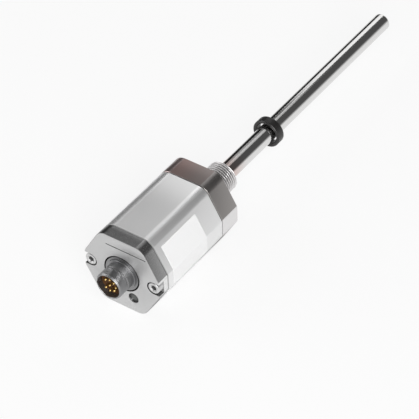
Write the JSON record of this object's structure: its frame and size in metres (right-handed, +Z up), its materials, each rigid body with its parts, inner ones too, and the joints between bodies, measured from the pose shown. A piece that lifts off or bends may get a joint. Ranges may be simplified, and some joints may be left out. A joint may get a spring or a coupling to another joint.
{
  "type": "magnetostrictive position sensor",
  "caption": "Rod-style position sensor with a hexagonal housing, a screw-in threaded flange, a round plug connector and a ring magnet that slides on the rod.",
  "frame": {"origin": "on the rod's axis where the mounting thread starts, 2.6 mm out from the flange's sealing face", "axes": "+X along the rod towards its tip, +Z up through the flat top of the housing, -Y towards the side with the label"},
  "size_m": [0.267, 0.0476, 0.046],
  "materials": {
    "anodised_aluminium": "satin, drawn along the length",
    "cover_aluminium": "fine matt, grey on its side",
    "flange_steel": "turned and milled stainless steel",
    "rod_steel": "ground and polished stainless steel",
    "screw_steel": "bright zinc plated",
    "connector_metal": "nickel plated brass",
    "contact_gold": "gold plated",
    "insert_plastic": "moulded, dark brown",
    "seal_rubber": "matt black",
    "window_plastic": "smoked, clear enough for the light",
    "led_plastic": "diffuse",
    "label_film": "white matt film, blank",
    "magnet_plastic": "plastic bonded ferrite, black",
    "board_laminate": "green solder mask",
    "chip_plastic": "moulded black",
    "capacitor_can": "sleeved can",
    "frame_plastic": "glass filled nylon",
    "bobbin_plastic": "natural",
    "copper_winding": "enamelled copper wire",
    "liner_plastic": "extruded fluoropolymer",
    "damper_rubber": "soft silicone",
    "magnet_iron": "sintered magnet"
  },
  "bodies": {
    "sensor": {"housing_profile": "anodised_aluminium", "end_cover": "cover_aluminium", "mounting_flange": "flange_steel", "cover_gasket": "seal_rubber", "flange_gasket": "seal_rubber", "cover_screws": "screw_steel", "mounting_o_ring": "seal_rubber", "pressure_rod": "rod_steel", "rod_end_plug": "rod_steel", "waveguide": "copper_winding", "waveguide_liner": "liner_plastic", "return_wire": "copper_winding", "damping_sleeve": "damper_rubber", "waveguide_anchor": "contact_gold", "pickup_base": "frame_plastic", "base_screws": "screw_steel", "coil_bobbin": "bobbin_plastic", "pickup_coil": "copper_winding", "bias_magnet": "magnet_iron", "coil_terminals": "contact_gold", "signal_board": "board_laminate", "power_board": "board_laminate", "connector_board": "board_laminate", "signal_chips": "chip_plastic", "power_parts": "chip_plastic", "filter_capacitors": "capacitor_can", "status_led": "led_plastic", "led_window": "window_plastic", "connector_shell": "connector_metal", "connector_insert": "insert_plastic", "contact_pins": "contact_gold", "connector_nut": "connector_metal", "connector_seal": "seal_rubber", "type_label": "label_film"},
    "magnet": {"position_magnet": "magnet_plastic"}
  },
  "joints": [
    {"name": "magnet_slide", "type": "slide", "parent": "sensor", "child": "magnet", "axis": [1, 0, 0], "range_m": [-0.0398, 0.1155]}
  ]
}
